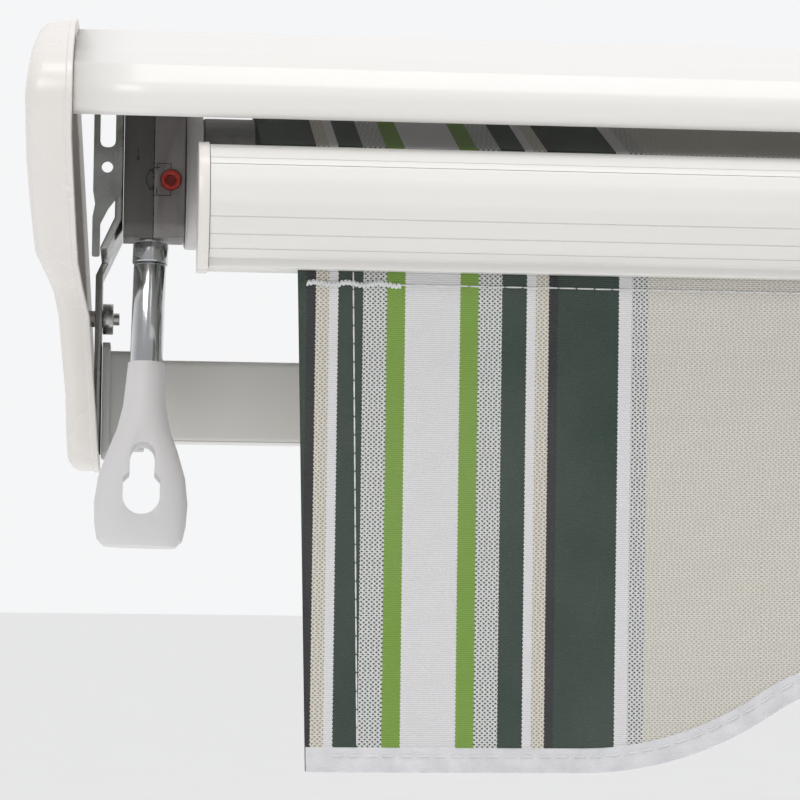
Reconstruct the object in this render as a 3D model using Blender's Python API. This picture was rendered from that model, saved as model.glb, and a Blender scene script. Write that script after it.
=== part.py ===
"""Folding-arm awning with a half cassette: hood, roller, crank gearbox, two arms, front bar and canvas.

X runs along the wall, Y points into the wall and Z points up. Sizes are in millimetres until an object
is made. X is measured from the middle of the awning, and the finished model is moved so that its origin
lies on the back face of the left wall bracket.
"""
import math

import bmesh
import bpy
from mathutils import Matrix, Vector

MM = 0.001
GAP = 0.3

# Overall layout
BRACKET_X = 700.0
WALL_HOLE_RISE = 46.0
WALL_HOLE_RADIUS = 5.5
WALL_HOLE_REACH = 10.0
COVER_OUTER_X = 1000.0
HOOD_HALF = 979.0
PITCH = math.radians(14.0)

# Torsion bar
BAR_SIZE = 40.0
BAR_WALL = 2.5
BAR_Y = -42.0
BAR_HALF = 961.7

# Roller
ROLLER_Y = -100.0
ROLLER_Z = 103.0
TUBE_RADIUS = 30.0
TUBE_WALL = 1.5
ROLL_RADIUS = 34.5
TUBE_HALF = 919.7
CANVAS_HALF = 896.0

# Arms
LINK = 720.0
FOLDED_REACH = 60.0
FOLD_ANGLE = math.asin(FOLDED_REACH / (2 * LINK))
ARM_X = 800.0
SHOULDER_Y = -112.0
SHOULDER_Z = 40.0
REAR_OFFSET = 15.0
REAR_SECTION = (28.0, 40.0)
FORE_OFFSET = -14.0
FORE_SECTION = (24.0, 34.0)
ARM_WALL = 2.0
CASTING_LENGTH = 45.0
PIN_RADIUS = 6.0
TIP_PIN_RADIUS = 5.0

# Front bar
FRONT_HALF = 919.0
FRONT_TOP = 108.0
FRONT_BOTTOM = 53.0
FRONT_BACK_Y = -190.0
VALANCE_Y = -208.0
VALANCE_HALF = 880.0
VALANCE_BOTTOM = -166.0
SCALLOP_PITCH = 420.0
LOBE_RADIUS = 152.0
CREST_RADIUS = 60.0
SCALLOP_ANGLE = math.radians(35.0)

# Gearbox and crank
GEAR_X = -942.9
GEAR_LEFT = -956.6
GEAR_RIGHT = -928.7
MODULE = 2.5
TEETH = 13
WORM_PITCH_RADIUS = 8.0
WORM_HALF = 14.0
CRANK_TILT = math.radians(8.0)
CRANK_LEAN = math.radians(1.3)
CRANK_TUBE_RADIUS = 7.5

# One tooth of the worm wheel: share of the pitch, and height above the pitch circle.
TOOTH_SHAPE = ((0.19, -2.6), (0.33, -2.3), (0.42, 1.9), (0.58, 1.9), (0.67, -2.3), (0.81, -2.6))

FINISHES = {
    "white_paint": ((0.86, 0.87, 0.86), 0.28, 0.0),
    "white_plastic": ((0.85, 0.86, 0.86), 0.4, 0.0),
    "zinc": ((0.55, 0.56, 0.57), 0.35, 1.0),
    "cast_metal": ((0.36, 0.36, 0.37), 0.5, 0.9),
    "red_plastic": ((0.5, 0.03, 0.03), 0.4, 0.0),
    "canvas": ((0.05, 0.13, 0.09), 0.9, 0.0),
}

# An outline (a, b) and a height c become world axes.
AXES = {
    "X": Matrix(((0, 0, 1, 0), (1, 0, 0, 0), (0, 1, 0, 0), (0, 0, 0, 1))),
    "Y": Matrix(((1, 0, 0, 0), (0, 0, 1, 0), (0, 1, 0, 0), (0, 0, 0, 1))),
    "Z": Matrix.Identity(4),
}


# A solid made about Z points along -Y.
TURN_TO_Y = Matrix.Rotation(math.radians(90.0), 4, "X")


# ---------------------------------------------------------------- outlines

def circle(radius, count=24, centre=(0.0, 0.0)):
    """Points of a circle, counter-clockwise."""
    steps = [2 * math.pi * k / count for k in range(count)]
    return [(centre[0] + radius * math.cos(t), centre[1] + radius * math.sin(t)) for t in steps]


def arc(centre, radius, start, end, steps):
    """Points of an arc between two angles in degrees, both ends included."""
    angles = [math.radians(start + (end - start) * k / steps) for k in range(steps + 1)]
    return [(centre[0] + radius * math.cos(t), centre[1] + radius * math.sin(t)) for t in angles]


def rectangle(low_a, high_a, low_b, high_b):
    """Corners of an upright rectangle."""
    return [(low_a, low_b), (high_a, low_b), (high_a, high_b), (low_a, high_b)]


def soften(points, radius, steps=3):
    """Round every corner of a closed outline."""
    result = []
    count = len(points)
    for index in range(count):
        corner = Vector(points[index])
        before = Vector(points[index - 1]) - corner
        after = Vector(points[(index + 1) % count]) - corner
        reach = min(radius, before.length * 0.45, after.length * 0.45)
        start = corner + before.normalized() * reach
        end = corner + after.normalized() * reach
        for step in range(steps + 1):
            t = step / steps
            point = start * (1 - t) ** 2 + corner * 2 * t * (1 - t) + end * t ** 2
            result.append((point.x, point.y))
    return result


def inset(points, distance):
    """Move a counter-clockwise closed outline inwards by a distance."""
    result = []
    count = len(points)
    for index in range(count):
        here = Vector(points[index])
        along = (here - Vector(points[index - 1])).normalized()
        onward = (Vector(points[(index + 1) % count]) - here).normalized()
        side = (Vector((-along.y, along.x)) + Vector((-onward.y, onward.x))).normalized()
        widen = 1 / max(0.5, side.dot(Vector((-along.y, along.x))))
        result.append(tuple(here + side * distance * widen))
    return result


def thicken(path, thickness):
    """Closed outline of a strip that follows an open path, with its thickness on the left."""
    other = []
    count = len(path)
    for index in range(count):
        here = Vector(path[index])
        before = Vector(path[max(index - 1, 0)])
        after = Vector(path[min(index + 1, count - 1)])
        along = (after - before).normalized()
        other.append((here.x - along.y * thickness, here.y + along.x * thickness))
    return list(path) + other[::-1]


# ---------------------------------------------------------------- solids

def prism(outline, low, high, axis="Z", holes=()):
    """Extrude a closed outline, with any holes, between two heights along an axis."""
    bm = bmesh.new()
    ends = {low: [], high: []}
    for loop in (outline, *holes):
        rings = {height: [bm.verts.new((a, b, height)) for a, b in loop] for height in (low, high)}
        for k in range(len(loop)):
            nxt = (k + 1) % len(loop)
            bm.faces.new((rings[low][k], rings[low][nxt], rings[high][nxt], rings[high][k]))
        for height in (low, high):
            ends[height].append(rings[height])
    for rings in ends.values():
        if len(rings) == 1:
            bm.faces.new(rings[0])
            continue
        edges = [bm.edges.get((ring[k - 1], ring[k])) for ring in rings for k in range(len(ring))]
        bmesh.ops.triangle_fill(bm, use_beauty=True, use_dissolve=False, edges=edges)
    bm.transform(AXES[axis])
    bmesh.ops.recalc_face_normals(bm, faces=bm.faces)
    return bm


def block(low, high):
    """Box between two corners."""
    return prism(rectangle(low[0], high[0], low[1], high[1]), low[2], high[2])


def loft(sections):
    """Join rings of equal length into one closed solid, capped at both ends."""
    bm = bmesh.new()
    rings = [[bm.verts.new(point) for point in ring] for ring in sections]
    count = len(rings[0])
    for low, high in zip(rings, rings[1:]):
        for k in range(count):
            nxt = (k + 1) % count
            bm.faces.new((low[k], low[nxt], high[nxt], high[k]))
    bm.faces.new(rings[0])
    bm.faces.new(rings[-1])
    bmesh.ops.recalc_face_normals(bm, faces=bm.faces)
    return bm


def turned(profile, count=24, closed=False):
    """Turn a profile of (radius, height) about Z. A closed profile makes a ring."""
    bm = bmesh.new()
    rows = []
    for radius, height in profile:
        if radius == 0:
            rows.append([bm.verts.new((0, 0, height))] * count)
            continue
        rows.append([bm.verts.new((a, b, height)) for a, b in circle(radius, count)])
    pairs = list(zip(rows, rows[1:]))
    if closed:
        pairs.append((rows[-1], rows[0]))
    for low, high in pairs:
        for k in range(count):
            nxt = (k + 1) % count
            corners = dict.fromkeys((low[k], low[nxt], high[nxt], high[k]))
            bm.faces.new(tuple(corners))
    bmesh.ops.recalc_face_normals(bm, faces=bm.faces)
    return bm


def ring_solid(inner, outer, low, high, count=24):
    """Plain tube about Z."""
    return turned([(inner, low), (outer, low), (outer, high), (inner, high)], count, closed=True)


def moved(bm, matrix):
    """Move a solid, keeping its faces pointing out."""
    bm.transform(matrix)
    bmesh.ops.recalc_face_normals(bm, faces=bm.faces)
    return bm


def along_x(bm, x, y, z, sign=1):
    """Lay a solid made about Z along X, starting at a point and running by sign."""
    turn = Matrix.Rotation(math.radians(90.0) * sign, 4, "Y")
    return moved(bm, Matrix.Translation((x, y, z)) @ turn)


def mirrored(bm):
    """Mirror a solid across X = 0."""
    return moved(bm, Matrix.Diagonal((-1, 1, 1, 1)))


def boolean(base, tool, operation):
    """Combine two closed solids and return the result."""
    objects = []
    for bm in (base, tool):
        mesh = bpy.data.meshes.new("solid")
        bm.to_mesh(mesh)
        bm.free()
        obj = bpy.data.objects.new("solid", mesh)
        bpy.context.scene.collection.objects.link(obj)
        objects.append(obj)
    modifier = objects[0].modifiers.new("boolean", "BOOLEAN")
    modifier.object = objects[1]
    modifier.operation = operation
    modifier.solver = "EXACT"
    result = bmesh.new()
    result.from_object(objects[0], bpy.context.evaluated_depsgraph_get())
    for obj in objects:
        mesh = obj.data
        bpy.data.objects.remove(obj)
        bpy.data.meshes.remove(mesh)
    bmesh.ops.dissolve_degenerate(result, dist=0.001, edges=result.edges)
    return result


def fuse(base, *tools):
    """Join overlapping solids into one."""
    for tool in tools:
        base = boolean(base, tool, "UNION")
    return base


def carve(base, *tools):
    """Cut solids away from a base."""
    for tool in tools:
        base = boolean(base, tool, "DIFFERENCE")
    return base


# ---------------------------------------------------------------- objects

def finish_material(name):
    """Principled material for one named finish."""
    existing = bpy.data.materials.get(name)
    if existing:
        return existing
    colour, roughness, metallic = FINISHES[name]
    material = bpy.data.materials.new(name)
    material.use_nodes = True
    shader = material.node_tree.nodes["Principled BSDF"]
    shader.inputs["Base Color"].default_value = (*colour, 1.0)
    shader.inputs["Roughness"].default_value = roughness
    shader.inputs["Metallic"].default_value = metallic
    return material


def add_piece(name, bm, finish, frame=Matrix.Identity(4), local=False):
    """Make a named object whose origin is the frame. The solid is in the frame only if local."""
    if not local:
        bm.transform(frame.inverted())
    bmesh.ops.recalc_face_normals(bm, faces=bm.faces)
    bmesh.ops.scale(bm, vec=(MM, MM, MM), verts=bm.verts)
    mesh = bpy.data.meshes.new(name)
    bm.to_mesh(mesh)
    bm.free()
    mesh.shade_smooth()
    mesh.set_sharp_from_angle(angle=math.radians(35.0))
    mesh.materials.append(finish_material(finish))
    obj = bpy.data.objects.new(name, mesh)
    bpy.context.scene.collection.objects.link(obj)
    placed = frame.copy()
    placed.translation = (frame.translation + Vector((BRACKET_X, 0, 0))) * MM
    obj.matrix_world = placed
    return obj


def side_name(sign):
    """Word for a side: the left end is at negative X."""
    return "left" if sign < 0 else "right"


# ---------------------------------------------------------------- fixed frame

def build_bar():
    """Torsion bar, its end sockets, and the wall brackets that hold it."""
    half = BAR_SIZE / 2
    outer = soften(rectangle(BAR_Y - half, BAR_Y + half, -half, half), 3.0)
    hollow = inset(rectangle(BAR_Y - half, BAR_Y + half, -half, half), BAR_WALL)
    add_piece("torsion_bar", prism(outer, -BAR_HALF, BAR_HALF, "X", [hollow]), "white_paint")

    clear = half + GAP
    seat = rectangle(BAR_Y - clear, BAR_Y + clear, -clear, clear)
    cup_outline = soften(rectangle(BAR_Y - half - 4, BAR_Y + half + 4, -half - 4, half + 4), 4.0)
    flange_outline = soften(rectangle(BAR_Y - 28, BAR_Y + 28, -28, 28), 6.0)
    for sign in (-1, 1):
        cup = prism(cup_outline, -964.0, -945.0, "X")
        flange = prism(flange_outline, -965.7, -962.0, "X")
        socket = carve(fuse(cup, flange), prism(seat, -962.0, -940.0, "X"))
        if sign > 0:
            socket = mirrored(socket)
        add_piece(f"end_socket_{side_name(sign)}", socket, "white_paint")

        bracket_profile = [
            (0, -65), (0, 65), (-6, 65), (-6, 26), (-44, 26), (-44, clear), (BAR_Y + clear, clear),
            (BAR_Y + clear, -clear), (BAR_Y - clear, -clear), (BAR_Y - clear, -6), (BAR_Y - clear - 6, -6),
            (BAR_Y - clear - 6, -27), (-6, -27), (-6, -65)]
        centre = sign * BRACKET_X
        bracket = prism(bracket_profile, centre - 30, centre + 30, "X")
        for height in (-WALL_HOLE_RISE, WALL_HOLE_RISE):
            # The cutter stands clear of both faces of the plate, so the screw hole goes right through.
            through = ring_cutter(WALL_HOLE_RADIUS, -WALL_HOLE_REACH, WALL_HOLE_REACH)
            hole = moved(through, Matrix.Translation((centre, 0, height)) @ TURN_TO_Y)
            bracket = carve(bracket, hole)
        bolt_place = Matrix.Translation((centre, BAR_Y, 0))
        bracket = carve(bracket, moved(ring_cutter(4.3, -30, -19), bolt_place))
        add_piece(f"wall_bracket_{side_name(sign)}", bracket, "white_paint")
        bolt = turned([(0, -34), (7, -34), (7, -27.3), (4, -27.3), (4, -20.3), (0, -20.3)], 12)
        add_piece(f"bracket_bolt_{side_name(sign)}", moved(bolt, bolt_place), "zinc")


def ring_cutter(radius, low, high, count=16):
    """Round cutter about Z."""
    return turned([(0, low), (radius, low), (radius, high), (0, high)], count)


def hood_path():
    """Outer line of the hood, from its back edge over the top to the front lip."""
    return [
        (-12, 148), (-12, 160), (-15, 168), (-24, 172.5), (-60, 175), (-100, 173.5), (-130, 169),
        (-160, 161), (-185, 151.5), (-202, 143), (-211, 136), (-214.5, 129), (-214, 122), (-211, 119)]


def build_hood():
    """Roof profile over the roller."""
    add_piece("hood", prism(thicken(hood_path(), 1.8), -HOOD_HALF, HOOD_HALF, "X"), "white_paint")


def build_end_covers():
    """Painted shells that close both ends, open towards the middle."""
    head = [
        (-8, 44), (-8, 156), (-14, 170), (-30, 177), (-70, 179), (-110, 177), (-150, 169), (-186, 156),
        (-206, 146), (-216, 136), (-218, 124), (-212, 112), (-194, 96), (-170, 78), (-142, 61), (-112, 49),
        (-92, 44)]
    leg = [(-8, -34), (-8, 66), (-112, 66), (-98, 46), (-88, 30), (-82, 0), (-76, -28), (-68, -34)]
    head = soften(head[::-1], 8.0, 2)[::-1]
    leg = soften(leg, 8.0, 2)
    inner_head = inset(head, 3.0) if is_counter_clockwise(head) else inset(head[::-1], 3.0)
    inner_leg = inset(leg, 3.0) if is_counter_clockwise(leg) else inset(leg[::-1], 3.0)
    screw_x = -986.0
    screw_y = -60.0
    for sign in (-1, 1):
        shell = fuse(prism(head, -COVER_OUTER_X, -979.4, "X"), prism(leg, -988.0, -966.1, "X"))
        shell = carve(shell, prism(inner_head, -997.0, -960.0, "X"), prism(inner_leg, -985.0, -960.0, "X"))
        screw_place = Matrix.Translation((screw_x, screw_y, 0))
        shell = carve(shell, moved(ring_cutter(2.4, 170, 182, 12), screw_place))
        screw = turned([(0, 168), (2, 168), (2, 179.8), (4, 179.8), (4, 181), (0, 182)], 12)
        screw = moved(screw, Matrix.Translation((screw_x, screw_y, 0)))
        if sign > 0:
            shell = mirrored(shell)
            screw = mirrored(screw)
        add_piece(f"end_cover_{side_name(sign)}", shell, "white_paint")
        add_piece(f"cover_screw_{side_name(sign)}", screw, "zinc")


def is_counter_clockwise(points):
    """True when a closed outline runs counter-clockwise."""
    total = 0.0
    for index in range(len(points)):
        (a, b), (c, d) = points[index - 1], points[index]
        total += a * d - c * b
    return total > 0


def build_side_plates():
    """Joggled steel plates between the torsion bar and the roller, with their bolts."""
    path = [(-966.3, -26), (-966.3, 60), (-957.1, 80), (-957.1, 144)]
    for sign in (-1, 1):
        plate = prism(thicken(path, 3.4), -150, -22, "Y")
        plate = carve(plate, block((-975, -160, -40), (-950, -66, 66)))
        bolt_hole = along_x(ring_cutter(4.3, -8, 8), -968.0, -52.0, 40.0)
        bore = along_x(ring_cutter(11.0, -8, 8, 20), -958.8, ROLLER_Y, ROLLER_Z)
        plate = carve(plate, bolt_hole, bore)
        bolt = turned([(0, -3), (4, -3), (4, 3.9), (7.5, 3.9), (7.5, 9), (3, 9), (3, 12), (0, 12)], 12)
        bolt = along_x(bolt, -969.9, -52.0, 40.0)
        if sign > 0:
            plate = mirrored(plate)
            bolt = mirrored(bolt)
        add_piece(f"side_plate_{side_name(sign)}", plate, "cast_metal")
        add_piece(f"plate_bolt_{side_name(sign)}", bolt, "zinc")
    pin = turned([(0, 0), (13, 0), (13, 4.5), (6, 4.5), (6, 50), (0, 50)], 24)
    add_piece("idler_pin", along_x(pin, 956.7, ROLLER_Y, ROLLER_Z, -1), "zinc")


# ---------------------------------------------------------------- gearbox, crank and roller

def worm_axis_point():
    """Point of the worm's axis nearest to the wheel's axis."""
    distance = MODULE * TEETH / 2 + WORM_PITCH_RADIUS
    return Vector((GEAR_X, ROLLER_Y - distance * math.cos(CRANK_TILT),
                   ROLLER_Z + distance * math.sin(CRANK_TILT)))


def crank_frame():
    """Frame on the crank's axis, Z up along it."""
    lean = Matrix.Rotation(CRANK_LEAN, 4, "Y")
    tilt = Matrix.Rotation(-CRANK_TILT, 4, "X")
    return Matrix.Translation(worm_axis_point()) @ lean @ tilt


def build_gearbox():
    """Housing in two halves with its screws and limit screw."""
    outline = soften([(-150, 76), (-146, 72), (-104, 72), (-78, 84), (-72, 96), (-72, 134), (-80, 141),
                      (-144, 141), (-150, 136)], 5.0, 2)
    frame = crank_frame()
    screw_places = ((-142.0, 134.0), (-78.5, 131.0))
    for name, low, high in (("gearbox_outer_half", GEAR_LEFT, GEAR_X - GAP / 2),
                            ("gearbox_inner_half", GEAR_X + GAP / 2, GEAR_RIGHT)):
        half = prism(outline, low, high, "X")
        wheel_room = along_x(ring_cutter(19.3, -6.0, 6.0, 32), GEAR_X, ROLLER_Y, ROLLER_Z)
        worm_room = moved(ring_cutter(11.0, -17.0, 17.0, 24), frame)
        shaft_room = moved(ring_cutter(5.8, -60.0, 0.0, 20), frame)
        half = carve(half, wheel_room, worm_room, shaft_room)
        for y, z in screw_places:
            half = carve(half, along_x(ring_cutter(2.3, -40, 40, 10), GEAR_X, y, z),
                         along_x(ring_cutter(4.3, 11.1, 40, 10), GEAR_X, y, z))
        if name == "gearbox_inner_half":
            half = carve(half, along_x(ring_cutter(10.3, 0, 30, 24), GEAR_X, ROLLER_Y, ROLLER_Z))
            pocket = moved(ring_cutter(4.8, 143.5, 160, 20), Matrix.Translation((-935.2, 0, 98)) @ TURN_TO_Y)
            half = carve(half, pocket)
        add_piece(name, half, "cast_metal")
    for word, (y, z) in zip(("front", "rear"), screw_places):
        screw = turned([(0, -13), (2, -13), (2, 11.4), (4, 11.4), (4, 13.8), (0, 13.8)], 10)
        add_piece(f"gearbox_screw_{word}", along_x(screw, GEAR_X, y, z), "zinc")
    screw = turned([(0, 0), (4.5, 0), (4.5, 8.5), (3.6, 8.5), (3.6, 6), (0, 6)], 20)
    place = Matrix.Translation((-935.2, -143.9, 98)) @ TURN_TO_Y
    add_piece("limit_screw", screw, "red_plastic", place, local=True)


def worm_thread():
    """Single-start worm: the radius follows a thread that climbs one pitch a turn."""
    pitch = math.pi * MODULE
    rows, columns = 32, 16
    sections = []
    for row in range(rows + 1):
        height = -WORM_HALF + 2 * WORM_HALF * row / rows
        ring = []
        for column in range(columns):
            turn = column / columns
            wave = math.cos(2 * math.pi * (height / pitch - turn + 0.25))
            radius = WORM_PITCH_RADIUS - 0.35 + 2.05 * max(-1.0, min(1.0, 1.5 * wave - 0.35))
            angle = 2 * math.pi * turn
            ring.append((radius * math.cos(angle), radius * math.sin(angle), height))
        sections.append(ring)
    return loft(sections)


def build_crank():
    """Worm and shaft, collar, tube and the eye that the hand crank hooks into."""
    frame = crank_frame()
    shaft = turned([(0, -64), (5.3, -64), (5.3, 16.5), (0, 16.5)], 16)
    add_piece("worm_shaft", fuse(worm_thread(), shaft), "zinc", frame, local=True)

    collar = turned([(5.6, -36.4), (5.6, -46.6), (7.6, -46.6), (8.2, -46), (8.2, -37), (7.6, -36.4)],
                    24, closed=True)
    add_piece("crank_collar", collar, "zinc", frame, local=True)
    tube = ring_solid(5.6, CRANK_TUBE_RADIUS, -116, -46.9)
    add_piece("crank_tube", tube, "zinc", frame, local=True)
    add_piece("crank_eye", crank_eye_solid(), "white_plastic", frame, local=True)


def crank_eye_solid():
    """Flared eye: a round socket above, a flat ring with a keyhole below."""
    stations = [  # height, half width, half depth, squareness
        (-93, 8.3, 8.3, 2.0), (-100, 8.8, 8.6, 2.0), (-113, 9.8, 9.2, 2.0), (-124, 12.2, 9.4, 2.2),
        (-134, 16.0, 9.2, 2.6), (-146, 19.8, 8.8, 3.0), (-158, 21.3, 8.4, 3.4), (-168, 20.8, 8.0, 3.6),
        (-175, 19.4, 7.2, 3.6), (-178, 16.5, 5.6, 3.4)]
    sections = []
    for height, wide, deep, power in stations:
        ring = []
        for k in range(28):
            angle = 2 * math.pi * k / 28
            cos, sin = math.cos(angle), math.sin(angle)
            x = wide * math.copysign(abs(cos) ** (2 / power), cos)
            y = deep * math.copysign(abs(sin) ** (2 / power), sin)
            ring.append((x, y, height))
        sections.append(ring)
    keyhole = arc((0, -136.5), 5.7, 180, 0, 8) + [(5.7, -144.5), (8.5, -147.5)]
    keyhole += arc((0, -155.5), 8.5, 0, -180, 10) + [(-8.5, -147.5), (-5.7, -144.5)]
    socket = ring_cutter(CRANK_TUBE_RADIUS + GAP, -117, -80, 24)
    return carve(loft(sections), socket, prism(keyhole, -20, 20, "Y"))


def wheel_outline():
    """Outline of the worm wheel, one tooth gap facing the worm."""
    pitch_radius = MODULE * TEETH / 2
    points = []
    for tooth in range(TEETH):
        for share, radius in TOOTH_SHAPE:
            angle = 2 * math.pi * (tooth + share) / TEETH + math.pi - CRANK_TILT
            points.append(((pitch_radius + radius) * math.cos(angle),
                           (pitch_radius + radius) * math.sin(angle)))
    return [(ROLLER_Y + a, ROLLER_Z + b) for a, b in points]


def build_roller():
    """Roller tube, its end discs, the worm wheel and the wound canvas."""
    frame = Matrix.Translation((GEAR_X, ROLLER_Y, ROLLER_Z))
    wheel = prism(wheel_outline(), GEAR_X - 5.0, GEAR_X + 5.0, "X")
    hub = along_x(ring_cutter(9.9, 3.0, 14.0, 24), GEAR_X, ROLLER_Y, ROLLER_Z)
    square = prism(rectangle(ROLLER_Y - 6, ROLLER_Y + 6, ROLLER_Z - 6, ROLLER_Z + 6),
                   GEAR_X + 12, -899.0, "X")
    add_piece("worm_wheel", fuse(wheel, hub, square), "zinc", frame)

    plug_radius = TUBE_RADIUS - TUBE_WALL - GAP
    for sign in (-1, 1):
        inner = 6.3
        profile = [(inner, -8.2), (31.5, -8.2), (32.5, -7.2), (32.5, 0), (plug_radius, 0),
                   (plug_radius, 25), (inner, 25)]
        disc = along_x(turned(profile, 32, closed=True), -920.0, ROLLER_Y, ROLLER_Z)
        if sign < 0:
            socket = prism(rectangle(ROLLER_Y - 6.3, ROLLER_Y + 6.3, ROLLER_Z - 6.3, ROLLER_Z + 6.3),
                           -940, -880, "X")
            disc = carve(disc, socket)
        else:
            disc = mirrored(disc)
        add_piece(f"roller_disc_{side_name(sign)}", disc, "white_plastic", frame)

    tube = ring_solid(TUBE_RADIUS - TUBE_WALL, TUBE_RADIUS, -TUBE_HALF, TUBE_HALF, 32)
    add_piece("roller_tube", along_x(tube, 0, ROLLER_Y, ROLLER_Z), "zinc", frame)
    roll = ring_solid(TUBE_RADIUS + GAP, ROLL_RADIUS, -CANVAS_HALF, CANVAS_HALF, 32)
    add_piece("canvas_roll", along_x(roll, 0, ROLLER_Y, ROLLER_Z), "canvas", frame)


# ---------------------------------------------------------------- arms

def plane_frame(point):
    """Frame in the arms' plane: X along the wall, Y back up towards the wall, Z out of the plane."""
    return Matrix.Translation(point) @ Matrix.Rotation(PITCH, 4, "X")


def shoulder_point(sign):
    """Centre of a shoulder pivot."""
    return Vector((sign * ARM_X, SHOULDER_Y, SHOULDER_Z))


def elbow_point(sign):
    """Centre of an elbow pivot when the arms are folded."""
    inward = -sign
    return plane_frame(shoulder_point(sign)) @ Vector(
        (inward * LINK * math.cos(FOLD_ANGLE), -LINK * math.sin(FOLD_ANGLE), 0))


def tip_point(sign):
    """Centre of a front pivot when the arms are folded."""
    return plane_frame(shoulder_point(sign)) @ Vector((0, -FOLDED_REACH, 0))


def link_frame(point, direction):
    """Frame of an arm link that runs towards +X or -X in the arms' plane."""
    turn = -FOLD_ANGLE * direction
    return plane_frame(point) @ Matrix.Rotation(turn, 4, "Z")


def flip(points):
    """Mirror an outline across its first axis."""
    return [(a, -b) for a, b in points]


def far_end(bm):
    """Turn an end casting round to the other end of a link."""
    return moved(bm, Matrix.Translation((LINK, 0, 0)) @ Matrix.Diagonal((-1, 1, 1, 1)))


def casting(offset, section, eye_radius, eye_half, pin_radius, slot=None):
    """Arm end: pivot eye, neck, shoulder and the plug that sits in the tube."""
    width, height = section
    near = abs(offset) - width / 2
    far = abs(offset) + width / 2
    neck = [(eye_radius * 0.88, -eye_radius / 2), (24, near), (35, near), (35, far), (30, far),
            (eye_radius / 2, eye_radius * 0.86), (0, 0)]
    shoulder = rectangle(30, CASTING_LENGTH, near, far)
    wall = ARM_WALL + 0.4
    plug = rectangle(CASTING_LENGTH - 1, CASTING_LENGTH + 30, near + wall, far - wall)
    if offset < 0:
        neck, shoulder, plug = flip(neck), flip(shoulder), flip(plug)
    body = fuse(prism(circle(eye_radius), -eye_half, eye_half),
                prism(neck, -eye_half, eye_half),
                prism(shoulder, -height / 2, height / 2),
                prism(plug, -height / 2 + wall, height / 2 - wall))
    if slot:
        body = carve(body, block((-40, -40, -slot), (27, 40, slot)))
    return carve(body, ring_cutter(pin_radius + GAP, -40, 40, 24))


def arm_tube(offset, section):
    """Hollow rectangular tube between the two castings of a link."""
    width, height = section
    outer = rectangle(offset - width / 2, offset + width / 2, -height / 2, height / 2)
    hollow = inset(outer, ARM_WALL)
    start = CASTING_LENGTH + GAP
    return prism(soften(outer, 4.0), start, LINK - start, "X", [hollow])


def headed_pin(radius, head_radius, low, high, head):
    """Pivot pin with a flat head on top."""
    return turned([(0, low), (radius, low), (radius, high), (head_radius, high),
                   (head_radius, high + head), (0, high + head)], 24)


def spring_solid():
    """Close-wound tension spring, its turns shown as ribs."""
    turns, pitch = 20, 12.0
    profile = [(0, 0)]
    for turn in range(turns):
        profile += [(5.5, turn * pitch), (7.5, (turn + 0.5) * pitch)]
    profile += [(5.5, turns * pitch), (0, turns * pitch)]
    return turned(profile, 10)


def build_arm(sign):
    """One folding arm: the rear link on its shoulder, and the forearm on its elbow."""
    side = side_name(sign)
    inward = -sign

    def add(name, bm, finish, frame, direction):
        add_piece(f"{name}_{side}", bm if direction > 0 else mirrored(bm), finish, frame, local=True)

    rear = link_frame(shoulder_point(sign), inward)
    add("arm_knuckle", casting(REAR_OFFSET, REAR_SECTION, 16, 14, PIN_RADIUS), "white_paint", rear, inward)
    add("rear_arm", arm_tube(REAR_OFFSET, REAR_SECTION), "white_paint", rear, inward)
    fork = far_end(casting(REAR_OFFSET, REAR_SECTION, 16, 19, PIN_RADIUS, slot=8.7))
    add("elbow_fork", fork, "white_paint", rear, inward)
    pin = moved(headed_pin(PIN_RADIUS, 9, -21, 19.3, 2.5), Matrix.Translation((LINK, 0, 0)))
    add("elbow_pin", pin, "zinc", rear, inward)

    fore = link_frame(elbow_point(sign), sign)
    tongue = casting(FORE_OFFSET, FORE_SECTION, 15, 8.4, PIN_RADIUS)
    add("elbow_tongue", tongue, "white_paint", fore, sign)
    add("forearm", arm_tube(FORE_OFFSET, FORE_SECTION), "white_paint", fore, sign)
    tip = far_end(casting(FORE_OFFSET, FORE_SECTION, 13, 9, TIP_PIN_RADIUS))
    add("forearm_tip", tip, "white_paint", fore, sign)
    spring = along_x(spring_solid(), 120, FORE_OFFSET, 0)
    add("arm_spring", spring, "zinc", fore, sign)


def build_shoulder(sign):
    """Bracket clamped on the torsion bar, with the pin that carries the arm."""
    side = side_name(sign)
    frame = plane_frame((0, SHOULDER_Y, SHOULDER_Z))
    front = BAR_Y - BAR_SIZE / 2 - GAP
    top = BAR_SIZE / 2 + GAP
    clamp = [(-30, top + 6), (front - 8, top + 6), (front - 8, -top - 6), (-30, -top - 6), (-30, -top),
             (front, -top), (front, top), (-30, top)]
    ear = arc((0, 0), 17, -200, 20, 14) + [(5.5, 22), (5.5, 44), (-25.5, 44), (-25.5, 22)]
    bracket = fuse(prism(clamp, -35, 35, "X"),
                   block((-25, -92, 14), (5, front - 1.2, 40)),
                   moved(block((-26, 19, -19.1), (6, 45, 19.1)), frame),
                   moved(prism(ear, 14.3, 19.5), frame),
                   moved(prism(ear, -19.5, -14.3), frame))
    bracket = carve(bracket, moved(ring_cutter(PIN_RADIUS + GAP, -40, 40, 24), frame))
    if sign > 0:
        bracket = mirrored(bracket)
    place = Matrix.Translation((sign * ARM_X, 0, 0))
    add_piece(f"shoulder_bracket_{side}", moved(bracket, place), "white_paint")
    pin = headed_pin(PIN_RADIUS, 9, -22, 19.8, 2.0)
    add_piece(f"shoulder_pin_{side}", pin, "zinc", plane_frame(shoulder_point(sign)), local=True)


# ---------------------------------------------------------------- front bar

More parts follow.
